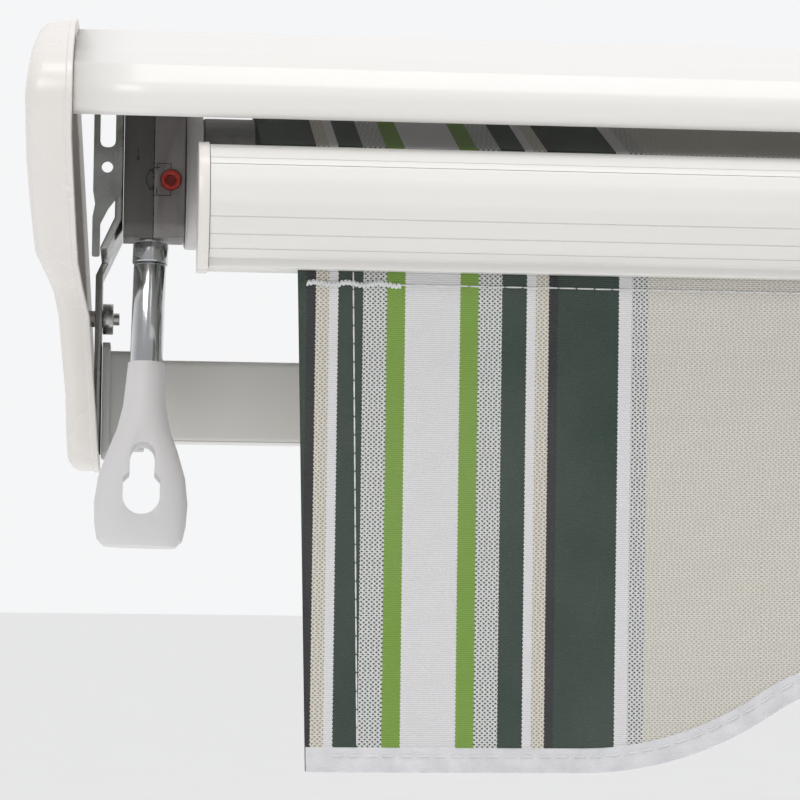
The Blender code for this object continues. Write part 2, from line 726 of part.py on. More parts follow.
def front_bar_profile():
    """Outer line of the front bar with the canvas slot on top and the valance slot below."""
    lower_slot = arc((VALANCE_Y, 58.5), 3.2, -62, 242, 8)
    upper_slot = arc((-197.0, 102.5), 3.2, 62, -242, 8)
    return ([(-190, FRONT_BOTTOM), (-190, FRONT_TOP), (-195.5, FRONT_TOP)] + upper_slot
            + [(-198.5, FRONT_TOP), (-207, FRONT_TOP), (-216, 104.5), (-223, 98.5), (-227.5, 90),
               (-229.5, 80), (-228.5, 70), (-225, 61.5), (-220.5, 57), (-217, 57), (-217, FRONT_BOTTOM),
               (VALANCE_Y - 1.5, FRONT_BOTTOM)] + lower_slot[::-1]
            + [(VALANCE_Y + 1.5, FRONT_BOTTOM)])


def build_front_bar():
    """Front bar with end caps, arm feet and pins."""
    frame = Matrix.Translation(tip_point(-1))
    chamber = [(-192.5, 64), (-192.5, 97), (-203, 97), (-203, 105), (-214, 102), (-221, 96.5),
               (-225, 89), (-227, 80), (-226, 71), (-222.5, 64)]
    outline = front_bar_profile()
    bar = prism(outline, -FRONT_HALF, FRONT_HALF, "X", [chamber])
    add_piece("front_bar", bar, "white_paint", frame)
    cap_outline = soften([(-189.5, 52), (-189.5, 109), (-207, 109), (-217, 105.3), (-224.2, 99),
                          (-228.7, 90.4), (-230.6, 80), (-229.6, 69.6), (-226, 60.5), (-218, 52)], 3.0, 2)
    for sign in (-1, 1):
        cap = prism(cap_outline, -924.0, -FRONT_HALF - GAP, "X")
        plug = prism(inset(chamber[::-1] if not is_counter_clockwise(chamber) else chamber, 0.5),
                     -921, -FRONT_HALF + 14, "X")
        cap = fuse(cap, plug)
        if sign > 0:
            cap = mirrored(cap)
        add_piece(f"front_bar_cap_{side_name(sign)}", cap, "white_plastic", frame)
        build_foot(sign, frame)


def build_foot(sign, frame):
    """Foot under the front bar, with the pin that takes the forearm's tip."""
    side = side_name(sign)
    pivot = tip_point(sign)
    plane = plane_frame((0, pivot.y, pivot.z))
    ear = arc((0, 0), 14, -20, 200, 12) + [(-21.5, -16), (-21.5, -29.5), (1.5, -29.5), (1.5, -16)]
    foot = fuse(moved(block((-22, -30, -15), (2, -15.2, 15)), plane),
                moved(prism(ear, 9.3, 14.6), plane),
                moved(prism(ear, -14.6, -9.3), plane),
                block((-21, -202.2, 28), (1, -191, FRONT_BOTTOM - GAP)))
    foot = carve(foot, moved(ring_cutter(TIP_PIN_RADIUS + GAP, -40, 40, 24), plane))
    if sign > 0:
        foot = mirrored(foot)
    add_piece(f"arm_foot_{side}", moved(foot, Matrix.Translation((pivot.x, 0, 0))), "white_paint", frame)
    pin = headed_pin(TIP_PIN_RADIUS, 8, -17, 15.3, 2.0)
    add_piece(f"tip_pin_{side}", pin, "zinc", plane_frame(pivot), local=True)


# ---------------------------------------------------------------- canvas

def scallop_rise(x):
    """Height of the valance's lower edge above its lobes."""
    crest = SCALLOP_PITCH * (math.floor(x / SCALLOP_PITCH) + 0.5)
    t = abs(x - crest)
    crest_reach = CREST_RADIUS * math.sin(SCALLOP_ANGLE)
    lobe_reach = LOBE_RADIUS * math.sin(SCALLOP_ANGLE)
    height = (LOBE_RADIUS + CREST_RADIUS) * (1 - math.cos(SCALLOP_ANGLE))
    if t < crest_reach:
        return height - CREST_RADIUS + math.sqrt(CREST_RADIUS ** 2 - t ** 2)
    into = max(0.0, crest_reach + lobe_reach - t)
    return LOBE_RADIUS - math.sqrt(LOBE_RADIUS ** 2 - into ** 2)


def build_valance():
    """Scalloped strip that hangs from the front bar."""
    steps = 120
    lower = []
    for k in range(steps + 1):
        x = -VALANCE_HALF + 2 * VALANCE_HALF * k / steps
        lower.append((x, VALANCE_BOTTOM + scallop_rise(x)))
    outline = lower + [(VALANCE_HALF, FRONT_BOTTOM + 2), (-VALANCE_HALF, FRONT_BOTTOM + 2)]
    strip = prism(outline, VALANCE_Y - 0.5, VALANCE_Y + 0.5, "Y")
    rod = along_x(ring_cutter(2.4, -VALANCE_HALF, VALANCE_HALF, 12), 0, VALANCE_Y, 58.5)
    neck = block((-VALANCE_HALF, VALANCE_Y - 0.5, FRONT_BOTTOM), (VALANCE_HALF, VALANCE_Y + 0.5, 58.5))
    add_piece("valance", fuse(strip, neck, rod), "canvas", Matrix.Translation(tip_point(-1)))


def canopy_line():
    """Ends of the free canvas: the tangent on the roll and the slot of the front bar."""
    centre = Vector((ROLLER_Y, ROLLER_Z))
    slot = Vector((-196.0, FRONT_TOP + 1.3))
    reach = ROLL_RADIUS + 1.2
    across = slot - centre
    angle = math.atan2(across.y, across.x) - math.acos(reach / across.length)
    return centre + reach * Vector((math.cos(angle), math.sin(angle))), slot


def build_canopy():
    """Stretch of canvas between the roll and the front bar."""
    start, end = canopy_line()
    side = Vector((end - start).yx).normalized() * 0.5
    side = Vector((-side.x, side.y)) if (end - start).x > 0 else Vector((side.x, -side.y))
    outline = [tuple(start - side), tuple(end - side), tuple(end + side), tuple(start + side)]
    add_piece("canopy", prism(outline, -CANVAS_HALF, CANVAS_HALF, "X"), "canvas")


def clear_scene():
    """Remove every object that is already there."""
    for obj in list(bpy.data.objects):
        bpy.data.objects.remove(obj)


def main():
    clear_scene()
    build_bar()
    build_hood()
    build_end_covers()
    build_side_plates()
    build_gearbox()
    build_crank()
    build_roller()
    for sign in (-1, 1):
        build_shoulder(sign)
        build_arm(sign)
    build_front_bar()
    build_valance()
    build_canopy()


main()
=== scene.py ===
"""The looks of a folding-arm awning: paint, plastic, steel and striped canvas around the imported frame."""

import math
import random

import bmesh
import bpy
import numpy as np
from mathutils import Matrix, Vector


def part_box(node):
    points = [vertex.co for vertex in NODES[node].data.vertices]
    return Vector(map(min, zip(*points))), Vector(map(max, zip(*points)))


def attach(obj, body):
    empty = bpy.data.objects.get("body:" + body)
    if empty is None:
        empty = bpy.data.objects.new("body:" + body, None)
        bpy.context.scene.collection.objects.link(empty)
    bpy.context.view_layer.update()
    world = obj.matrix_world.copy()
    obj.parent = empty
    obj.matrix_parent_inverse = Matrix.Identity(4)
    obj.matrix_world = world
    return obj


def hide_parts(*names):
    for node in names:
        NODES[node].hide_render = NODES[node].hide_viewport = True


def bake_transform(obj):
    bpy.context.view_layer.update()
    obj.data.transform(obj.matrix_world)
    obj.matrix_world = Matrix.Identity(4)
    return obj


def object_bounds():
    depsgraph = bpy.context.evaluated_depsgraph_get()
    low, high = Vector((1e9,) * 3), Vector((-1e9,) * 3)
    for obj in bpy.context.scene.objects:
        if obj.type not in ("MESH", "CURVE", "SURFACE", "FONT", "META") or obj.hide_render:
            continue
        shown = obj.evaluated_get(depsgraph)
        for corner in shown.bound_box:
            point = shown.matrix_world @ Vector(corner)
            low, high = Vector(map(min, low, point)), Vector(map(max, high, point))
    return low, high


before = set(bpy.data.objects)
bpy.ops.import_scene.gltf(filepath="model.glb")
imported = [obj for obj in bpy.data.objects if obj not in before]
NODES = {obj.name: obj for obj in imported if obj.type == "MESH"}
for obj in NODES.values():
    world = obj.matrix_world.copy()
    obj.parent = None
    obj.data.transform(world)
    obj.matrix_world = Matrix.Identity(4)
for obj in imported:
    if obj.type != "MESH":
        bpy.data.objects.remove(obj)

CAD_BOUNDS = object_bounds()

# The awning's middle plane, and the directions that the canvas runs in, out to the bar and in the valance.
MIDDLE = 0.7
LENGTHWAYS = (0, 0.970296, 0.241922)
UPWARDS = (0, 0, 1)

# Camera, in metres and degrees.
CAMERA_PLACE = Vector((-0.252, -1.521, -0.056))
CAMERA_YAW = 5.14
CAMERA_PITCH = 2.29
CAMERA_ROLL = 0.77
CAMERA_LENS = 135

# Floor and light.
FLOOR_DROP = 0.9
FLOOR_SIZE = 60
FLOOR_GLOW = 0.22
ROOM_GLOW = 0.42
WALL_GLOW = 0.93
KEY_POWER = 58
TOP_POWER = 38
SIDE_POWER = 9

# The end cover: how far out its side stands, and where its open rim is, by height.
COVER_SIDE = (
    (-40, -981.5), (0, -983), (34, -986.5), (45, -989), (60, -997), (90, -999.5), (130, -1000),
    (165, -998), (180, -993))
COVER_RIM = ((-40, -965.7), (0, -968.7), (38, -971.7), (58, -976.7), (110, -979.3), (180, -979.3))
COVER_CORNER = 0.0075
COVER_THICK = 0.0026
COVER_BEAD = 0.0007

# Grooves along the front bar: their heights, half width and depth, in mm.
FRONT_GROOVES = (100.5, 97.6, 74.0, 66.5, 60.5)
GROOVE_HALF = 0.35
GROOVE_DEPTH = 0.45

# The canvas stripes, from the middle of a white stripe outwards, each by where it ends.
STRIPE_CENTRE = -0.120
STRIPE_HALF_REPEAT = 0.1485
WHITE = (0.80, 0.79, 0.81)
GREEN = (0.028, 0.052, 0.040)
BLACK = (0.022, 0.022, 0.027)
LIME = (0.20, 0.36, 0.045)
CREAM = (0.74, 0.72, 0.66)
TAN = (0.36, 0.28, 0.17)
MESH_LIGHT = (0.72, 0.73, 0.72)
MESH_DARK = (0.035, 0.045, 0.045)
SOFT_TAN = (0.50, 0.45, 0.38)
STRIPES = (
    (0.0118, WHITE, WHITE),
    (0.0200, LIME, LIME),
    (0.0304, MESH_LIGHT, MESH_DARK),
    (0.0414, GREEN, GREEN),
    (0.0453, WHITE, WHITE),
    (0.0514, CREAM, TAN),
    (0.0554, BLACK, BLACK),
    (0.0825, GREEN, GREEN),
    (0.0886, WHITE, WHITE),
    (0.0960, MESH_LIGHT, MESH_DARK),
    (0.1485, CREAM, SOFT_TAN),
)
RIB_PITCH = 0.0009
DOT_PITCH = 0.0023
DOT_RISE = 0.0020

# The valance, in metres.
VALANCE_THICK = 0.0006
SCALLOP_PITCH = 0.420
LOBE_RADIUS = 0.152
CREST_RADIUS = 0.060
SCALLOP_ANGLE = math.radians(35)
BINDING_WIDTH = 0.0105
BINDING_STAND = 0.0009
SEAM_DROP = 0.0135
HEM_IN = 0.0245
STITCH_PITCH = 0.0080
STITCH_LONG = 0.0062
STITCH_RADIUS = 0.00042
HEM_STITCH_LONG = 0.0077
HEM_THREAD_RADIUS = 0.00036
HEM_JITTER = 0.00012
BARTACK_COUNT = 46
BARTACK_PITCH = 0.0009
BARTACK_TILT = 0.0012
BARTACK_THREAD_RADIUS = 0.00065
VALANCE_COLUMNS = 520
VALANCE_ROWS = 40

# How far the canvas's waving stripe edges stray, and how often, in metres.
WAVER_PITCH = 0.0018
WAVER_SIZE = 0.00016


# ---------------------------------------------------------------- camera, floor and light


def place_camera():
    yaw, pitch, roll = (math.radians(a) for a in (CAMERA_YAW, CAMERA_PITCH, CAMERA_ROLL))
    ahead = Vector((math.sin(yaw) * math.cos(pitch), math.cos(yaw) * math.cos(pitch), math.sin(pitch)))
    level = Vector((math.cos(yaw), -math.sin(yaw), 0))
    above = level.cross(ahead)
    right = level * math.cos(roll) + above * math.sin(roll)
    up = above * math.cos(roll) - level * math.sin(roll)
    data = bpy.data.cameras.new("camera")
    data.lens = CAMERA_LENS
    data.sensor_width = 36
    data.clip_start = 0.05
    data.clip_end = 100
    camera = bpy.data.objects.new("camera", data)
    turn = Matrix((right, up, -ahead)).transposed().to_4x4()
    camera.matrix_world = Matrix.Translation(CAMERA_PLACE) @ turn
    bpy.context.scene.collection.objects.link(camera)
    bpy.context.scene.camera = camera


def area_light(name, place, target, size, power, colour=(1, 1, 1)):
    data = bpy.data.lights.new(name, "AREA")
    data.shape = "RECTANGLE"
    data.size, data.size_y = size
    data.energy = power
    data.color = colour
    light = bpy.data.objects.new(name, data)
    light.location = place
    light.rotation_mode = "QUATERNION"
    light.rotation_quaternion = (Vector(target) - Vector(place)).to_track_quat("-Z", "Y")
    bpy.context.scene.collection.objects.link(light)


def light_room():
    """A studio: white walls behind the awning, a dimmer room in front, and three soft boxes."""
    world = bpy.data.worlds.new("studio")
    world.use_nodes = True
    tree = world.node_tree
    background = tree.nodes["Background"]
    direction = tree.nodes.new("ShaderNodeTexCoord")
    facing = tree.nodes.new("ShaderNodeVectorMath")
    facing.operation = "DOT_PRODUCT"
    facing.inputs[1].default_value = (0, 1, 0)
    glow = tree.nodes.new("ShaderNodeMapRange")
    glow.inputs["From Min"].default_value = -0.3
    glow.inputs["From Max"].default_value = 0.8
    glow.inputs["To Min"].default_value = ROOM_GLOW
    glow.inputs["To Max"].default_value = WALL_GLOW
    tree.links.new(direction.outputs["Generated"], facing.inputs[0])
    tree.links.new(facing.outputs["Value"], glow.inputs["Value"])
    tree.links.new(glow.outputs["Result"], background.inputs["Strength"])
    background.inputs["Color"].default_value = (0.985, 0.99, 1.0, 1)
    bpy.context.scene.world = world
    area_light("key_light", (-1.7, -3.2, 2.7), (0.4, -0.1, 0), (2.2, 1.5), KEY_POWER, (1.0, 0.985, 0.96))
    area_light("top_light", (0.7, -0.7, 2.9), (0.7, -0.1, 0), (3.2, 1.0), TOP_POWER)
    area_light("side_light", (3.6, -2.4, 0.9), (0.7, -0.1, 0), (1.4, 1.8), SIDE_POWER, (0.96, 0.98, 1.0))
    bpy.context.scene.view_settings.view_transform = "Standard"


# ---------------------------------------------------------------- materials


class Shader:
    """A Principled material and short ways to wire nodes into it."""

    def __init__(self, name):
        self.material = bpy.data.materials.new(name)
        self.material.use_nodes = True
        self.tree = self.material.node_tree
        self.surface = self.tree.nodes["Principled BSDF"]

    def node(self, kind, **settings):
        made = self.tree.nodes.new(kind)
        for key, value in settings.items():
            setattr(made, key, value)
        return made

    def feed(self, socket, value):
        if isinstance(value, bpy.types.NodeSocket):
            self.tree.links.new(value, socket)
        elif isinstance(value, tuple) and len(value) == 3 and socket.type == "RGBA":
            socket.default_value = (*value, 1)
        else:
            socket.default_value = value

    def set(self, **values):
        for key, value in values.items():
            self.feed(self.surface.inputs[key.replace("_", " ")], value)

    def place(self):
        return self.node("ShaderNodeTexCoord").outputs["Object"]

    def math(self, operation, *values, clamp=False):
        made = self.node("ShaderNodeMath", operation=operation, use_clamp=clamp)
        for socket, value in zip(made.inputs, values):
            self.feed(socket, value)
        return made.outputs["Value"]

    def along(self, axis):
        made = self.node("ShaderNodeVectorMath", operation="DOT_PRODUCT")
        self.feed(made.inputs[0], self.place())
        made.inputs[1].default_value = axis
        return made.outputs["Value"]

    def noise(self, scale, detail=3.0, stretch=(1, 1, 1)):
        mapping = self.node("ShaderNodeMapping")
        self.feed(mapping.inputs["Vector"], self.place())
        mapping.inputs["Scale"].default_value = stretch
        made = self.node("ShaderNodeTexNoise")
        self.feed(made.inputs["Vector"], mapping.outputs["Vector"])
        made.inputs["Scale"].default_value = scale
        made.inputs["Detail"].default_value = detail
        return made.outputs["Fac"]

    def spread(self, value, low, high, from_low=0.3, from_high=0.7):
        made = self.node("ShaderNodeMapRange")
        self.feed(made.inputs["Value"], value)
        made.inputs["From Min"].default_value = from_low
        made.inputs["From Max"].default_value = from_high
        made.inputs["To Min"].default_value = low
        made.inputs["To Max"].default_value = high
        return made.outputs["Result"]

    def mix(self, share, first, second):
        made = self.node("ShaderNodeMix", data_type="RGBA")
        self.feed(made.inputs[0], share)
        self.feed(made.inputs[6], first)
        self.feed(made.inputs[7], second)
        return made.outputs[2]

    def bump(self, height, distance, strength=1.0, normal=None):
        made = self.node("ShaderNodeBump")
        self.feed(made.inputs["Height"], height)
        made.inputs["Distance"].default_value = distance
        made.inputs["Strength"].default_value = strength
        if normal is not None:
            self.feed(made.inputs["Normal"], normal)
        return made.outputs["Normal"]


def painted(name, colour, roughness, soil=0.05, coat=0.0):
    """Powder coat: a faint orange peel, with a little dust that dulls it in patches."""
    shader = Shader(name)
    dust = tuple(c * (1 - soil) * t for c, t in zip(colour, (0.99, 0.975, 0.94)))
    patches = shader.spread(shader.noise(4, 1.5), 0, 0.5, 0.2, 0.8)
    shader.set(Base_Color=shader.mix(patches, colour, dust))
    shader.set(Roughness=shader.spread(shader.noise(26, 3), roughness - 0.03, roughness + 0.04))
    shader.set(Coat_Weight=coat, Coat_Roughness=0.18)
    peel = shader.bump(shader.noise(900, 2), 0.00002, 0.35)
    shader.set(Normal=shader.bump(shader.noise(30, 1.5), 0.0001, 0.10, peel))
    return shader.material


def moulded(name, colour, roughness, grain=1400):
    """Moulded plastic with a fine spark-eroded grain, greyed a little by handling."""
    shader = Shader(name)
    worn = tuple(c * t for c, t in zip(colour, (0.96, 0.945, 0.91)))
    handled = shader.spread(shader.noise(7, 1.5), 0, 0.5, 0.2, 0.8)
    shader.set(Base_Color=shader.mix(handled, colour, worn))
    shader.set(Roughness=shader.spread(shader.noise(45, 2), roughness - 0.02, roughness + 0.03))
    shader.set(Normal=shader.bump(shader.noise(grain, 2), 0.00002, 0.3), IOR=1.49)
    return shader.material


def plated(name, colour, roughness, brushed=(1, 1, 1), scratch=240, flake=0.35):
    """Plated or bare steel: fine drawn lines, cloudy plating and small wear marks."""
    shader = Shader(name)
    cloud = shader.spread(shader.noise(70, 4), 0, 1)
    dull = tuple(c * (1 - flake) for c in colour)
    shader.set(Base_Color=shader.mix(cloud, colour, dull), Metallic=1.0)
    lines = shader.noise(scratch, 4, brushed)
    shader.set(Roughness=shader.spread(lines, roughness * 0.75, roughness * 1.35))
    shader.set(Normal=shader.bump(lines, 0.00003, 0.5))
    return shader.material


def cast(name, colour, roughness):
    """A die-cast housing: fine pitted skin with long faint tool marks."""
    shader = Shader(name)
    pale = tuple(c * 1.35 for c in colour)
    marks = shader.spread(shader.noise(160, 4, (1, 1, 0.06)), 0, 1)
    shader.set(Base_Color=shader.mix(marks, colour, pale), Metallic=0.35)
    shader.set(Roughness=shader.spread(shader.noise(90, 4), roughness - 0.06, roughness + 0.1))
    shader.set(Normal=shader.bump(shader.noise(700, 4), 0.00008, 0.7))
    return shader.material


def plain_weave(name, colour, pitch, roughness=0.85):
    """White tape or thread: a close plain weave."""
    shader = Shader(name)
    across = shader.math("SINE", shader.math("MULTIPLY", shader.along((1, 0, 0)), math.tau / pitch))
    up = shader.math("SINE", shader.math("MULTIPLY", shader.along((0, 0.3, 1)), math.tau / pitch))
    weave = shader.math("MULTIPLY", across, up)
    shade = shader.spread(shader.noise(120, 3), 0, 1)
    shader.set(Base_Color=shader.mix(shade, colour, tuple(c * 0.86 for c in colour)))
    shader.set(Roughness=roughness, Sheen_Weight=0.25, Normal=shader.bump(weave, 0.0001, 0.6))
    return shader.material


def stripe_ramp(shader, position, which):
    """One constant colour for each stripe."""
    ramp = shader.node("ShaderNodeValToRGB")
    ramp.color_ramp.interpolation = "CONSTANT"
    stops = ramp.color_ramp.elements
    stops.remove(stops[1])
    stops[0].position = 0
    stops[0].color = (*STRIPES[0][which], 1)
    for before, stripe in zip(STRIPES, STRIPES[1:]):
        stop = stops.new(before[0] / STRIPE_HALF_REPEAT)
        stop.color = (*stripe[which], 1)
    shader.feed(ramp.inputs["Fac"], position)
    return ramp.outputs["Color"]


def canvas(name, axis):
    """Striped canvas. The stripes mirror about the middle of each white one, and axis runs along them."""
    shader = Shader(name)
    along = shader.along(axis)
    across = shader.along((1, 0, 0))
    swing = shader.math("SINE", shader.math("MULTIPLY", along, math.tau / WAVER_PITCH))
    waver = shader.math("MULTIPLY", swing, WAVER_SIZE)
    shifted = shader.math("ADD", shader.math("SUBTRACT", across, STRIPE_CENTRE), waver)
    folded = shader.math("PINGPONG", shifted, STRIPE_HALF_REPEAT)
    position = shader.math("DIVIDE", folded, STRIPE_HALF_REPEAT)
    column = shader.math("COSINE", shader.math("MULTIPLY", folded, math.tau / DOT_PITCH))
    row = shader.math("COSINE", shader.math("MULTIPLY", along, math.tau / DOT_RISE))
    grid = shader.math("MULTIPLY", column, row)
    dots = shader.math("MULTIPLY", shader.math("SUBTRACT", grid, 0.28), 6.0, clamp=True)
    cloth = shader.mix(dots, stripe_ramp(shader, position, 1), stripe_ramp(shader, position, 2))
    rib = shader.math("SINE", shader.math("MULTIPLY", along, math.tau / RIB_PITCH))
    # Painted shade: the cloth darkens towards black in the troughs between the ribs.
    shade = shader.spread(rib, 0.0, 0.22, -1.0, 1.0)
    cloth_with_rib_shade = shader.mix(shade, cloth, (0.02, 0.02, 0.02))
    fleck = shader.spread(shader.noise(1500, 2, (1, 1, 2.2)), 0.0, 0.10, 0.55, 0.8)
    aired = shader.mix(fleck, cloth_with_rib_shade, (0.45, 0.5, 0.47))
    dust = shader.spread(shader.noise(6, 4), 0.0, 0.07)
    shader.set(Base_Color=shader.mix(dust, aired, (0.55, 0.53, 0.49)))
    shader.set(Roughness=shader.spread(shader.noise(40, 3), 0.74, 0.9))
    shader.set(Sheen_Weight=0.18, Sheen_Roughness=0.5)
    weave = shader.bump(shader.math("ADD", rib, shader.math("MULTIPLY", grid, 0.8)), 0.00012, 0.7)
    shader.set(Normal=shader.bump(shader.noise(18, 3), 0.0012, 0.18, weave))
    return shader.material


# ---------------------------------------------------------------- meshes


def finished(name, bm, material, body, replaced=(), smooth_angle=35):
    """Makes an object of a bmesh, gives it its finish and hangs it on its body."""
    mesh = bpy.data.meshes.new(name)
    bmesh.ops.recalc_face_normals(bm, faces=bm.faces)
    bm.to_mesh(mesh)
    bm.free()
    mesh.polygons.foreach_set("use_smooth", [True] * len(mesh.polygons))
    mesh.set_sharp_from_angle(angle=math.radians(smooth_angle))
    mesh.materials.append(material)
    made = bpy.data.objects.new(name, mesh)
    bpy.context.scene.collection.objects.link(made)
    if body:
        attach(made, body)
    if replaced:
        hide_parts(*replaced)
    return made


def grid_sheet(columns, rows, point):
    """A rectangular net of quads; point(i, j) gives each corner."""
    bm = bmesh.new()
    net = [[bm.verts.new(point(i, j)) for j in range(rows + 1)] for i in range(columns + 1)]
    for i in range(columns):
        for j in range(rows):
            bm.faces.new((net[i][j], net[i + 1][j], net[i + 1][j + 1], net[i][j + 1]))
    return bm


def thickened(piece, thickness, offset=0.0):
    shell = piece.modifiers.new("thickness", "SOLIDIFY")
    shell.thickness = thickness
    shell.offset = offset
    return piece


def swept(bm, rings, closed_ends=True):
    """Joins rings of points into one tube."""
    made = [[bm.verts.new(p) for p in ring] for ring in rings]
    count = len(made[0])
    for first, second in zip(made, made[1:]):
        for k in range(count):
            bm.faces.new((first[k], first[(k + 1) % count], second[(k + 1) % count], second[k]))
    if closed_ends:
        bm.faces.new(made[0][::-1])
        bm.faces.new(made[-1])


def rounded(points, radii, steps=5):
    """An outline with each corner turned into an arc of its own radius."""
    made = []
    count = len(points)
    for k, point in enumerate(points):
        radius = radii[k] if hasattr(radii, "__len__") else radii
        here = Vector(point)
        back = (Vector(points[k - 1]) - here)
        on = (Vector(points[(k + 1) % count]) - here)
        turn = back.angle(on)
        reach = min(radius / max(math.tan(turn / 2), 1e-3), 0.49 * back.length, 0.49 * on.length)
        if radius <= 0 or turn > math.radians(178):
            made.append(tuple(here))
            continue
        first = here + back.normalized() * reach
        last = here + on.normalized() * reach
        for s in range(steps + 1):
            t = s / steps
            made.append(tuple(first * (1 - t) ** 2 + here * 2 * t * (1 - t) + last * t ** 2))
    return made


def mm(*values):
    return tuple(v / 1000 for v in values)


def outline_mm(*points):
    return [mm(*p) for p in points]


# ---------------------------------------------------------------- canvas


def scallop_rise(x):
    """Height of the valance's lower edge above its lobes, x from the awning's middle."""
    crest = SCALLOP_PITCH * (math.floor(x / SCALLOP_PITCH) + 0.5)
    away = abs(x - crest)
    crest_reach = CREST_RADIUS * math.sin(SCALLOP_ANGLE)
    lobe_reach = LOBE_RADIUS * math.sin(SCALLOP_ANGLE)
    if away < crest_reach:
        height = (LOBE_RADIUS + CREST_RADIUS) * (1 - math.cos(SCALLOP_ANGLE))
        return height - CREST_RADIUS + math.sqrt(CREST_RADIUS ** 2 - away ** 2)
    into = max(0.0, crest_reach + lobe_reach - away)
    return LOBE_RADIUS - math.sqrt(LOBE_RADIUS ** 2 - into ** 2)


class Valance:
    """The hanging edge: where its cloth lies at any x and height."""

    def __init__(self):
        low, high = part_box("valance")
        self.low, self.high = low, high
        self.y = (low.y + high.y) / 2
        self.length = high.z - low.z
        self.half = (high.x - low.x) / 2

    def lower(self, x):
        return self.low.z + scallop_rise(x - MIDDLE)

    def point(self, x, z, out=0.0):
        """The cloth hangs in shallow waves that grow downwards, and its ends draw in a little."""
        drop = min(1.0, max(0.0, (self.high.z - z) / self.length))
        wave = math.sin(x * 11.3 + 0.6) * 0.0021 + math.sin(x * 27.1 + 2.0) * 0.0011
        curl = math.sin(x * 5.1 + 3.0 * drop) * 0.0012
        aside = abs(x - MIDDLE) / self.half
        draw = -math.copysign(1, x - MIDDLE) * 0.0065 * drop * max(0.0, (aside - 0.8) / 0.2) ** 2
        return Vector((x + draw, self.y + (wave + curl) * drop ** 1.2 - out, z))


def stitches(name, route, thread, radius=STITCH_RADIUS):
    """Thread lying on the cloth in short rounded stitches; route lists (start, end) points."""
    bm = bmesh.new()
    for start, end in route:
        ahead = (end - start).normalized()
        side = Vector((0, -1, 0))
        across = ahead.cross(side).normalized()
        rings = []
        for share, swell in ((0, 0.35), (0.08, 0.85), (0.5, 1.0), (0.92, 0.85), (1, 0.35)):
            middle = start.lerp(end, share) + side * radius * 0.5 * swell
            rings.append(
                [middle + (across * math.cos(a) + side * math.sin(a)) * radius * swell
                 for a in (k * math.tau / 6 for k in range(6))]
            )
        swept(bm, rings)
    return finished(name, bm, thread, "front_bar", smooth_angle=60)


def stitch_run(start, end, place, long=STITCH_LONG, jitter=0.0):
    """Stitches from start to end along any line; place(t) turns a length into a point."""
    made = []
    at = start
    dice = random.Random(7)
    while at + long < end:
        off = Vector((dice.uniform(-jitter, jitter), 0, dice.uniform(-jitter, jitter)))
        made.append((place(at) + off, place(at + long) + off * 0.5))
        at += STITCH_PITCH
    return made


def make_valance(cloth, tape, thread):
    shape = Valance()
    left, right = shape.low.x, shape.high.x
    columns = VALANCE_COLUMNS

    def point(i, j):
        x = left + (right - left) * i / columns
        return shape.point(x, shape.high.z + (shape.lower(x) - shape.high.z) * j / VALANCE_ROWS)

    net = grid_sheet(columns, VALANCE_ROWS, point)
    sheet = finished("valance_cloth", net, cloth, "front_bar", ["valance"])
    thickened(sheet, VALANCE_THICK)

    # Side hems, seam below the bar, and the stitches that hold them.
    face = VALANCE_THICK / 2
    seam = shape.high.z - SEAM_DROP
    routes = []
    for side in (-1, 1):
        x = MIDDLE + side * (shape.half - HEM_IN)
        drop = shape.high.z - shape.lower(x) - BINDING_WIDTH
        routes += stitch_run(0, drop, lambda t: shape.point(x, shape.high.z - t, face), HEM_STITCH_LONG)
    end = 0.004
    routes += stitch_run(
        left + end, right - end, lambda t: shape.point(t, seam, face), HEM_STITCH_LONG, HEM_JITTER)
    line = stitches("valance_hem_stitches", routes, thread, radius=HEM_THREAD_RADIUS)
    bars = []
    dice = random.Random(3)
    for side in (-1, 1):
        for k in range(BARTACK_COUNT):
            x = MIDDLE + side * (shape.half - end) - side * k * BARTACK_PITCH
            tilt = (-1) ** k * BARTACK_TILT
            rise = seam + 0.0006 * math.sin(k * 0.4) + dice.uniform(-0.0002, 0.0002)
            first = shape.point(x, rise - tilt, face)
            bars.append((first, shape.point(x - side * BARTACK_PITCH, rise + tilt, face)))
    bartack = stitches("valance_seam_bartacks", bars, thread, radius=BARTACK_THREAD_RADIUS)

    # Binding: a folded tape that wraps the scalloped edge, drawn along the edge's own normal.
    def edge(x, inwards, out):
        slope = (shape.lower(x + 0.001) - shape.lower(x - 0.001)) / 0.002
        length = math.hypot(1, slope)
        foot = Vector((x - slope / length * inwards, 0, shape.lower(x) + inwards / length))
        return shape.point(foot.x, foot.z, out)

    stand = VALANCE_THICK / 2 + BINDING_STAND
    section = [
        (BINDING_WIDTH, face + 0.0001), (BINDING_WIDTH - 0.0004, stand * 0.9),
        (BINDING_WIDTH * 0.7, stand * 0.7), (BINDING_WIDTH * 0.62, stand * 0.7),
        (BINDING_WIDTH * 0.5, stand), (0.0008, stand), (-0.0003, stand * 0.55)]
    section += [(inwards, -out) for inwards, out in section[::-1]]
    bm = bmesh.new()
    rings = []
    for i in range(columns + 1):
        x = left + 0.0004 + (right - left - 0.0008) * i / columns
        rings.append([edge(x, inwards, out) for inwards, out in section])
    swept(bm, rings)
    binding = finished("valance_binding", bm, tape, "front_bar")
    dashes = stitch_run(left + 0.012, right - 0.012, lambda t: edge(t, BINDING_WIDTH * 0.66, stand * 0.72))
    bound = stitches("valance_binding_stitches", dashes, thread)


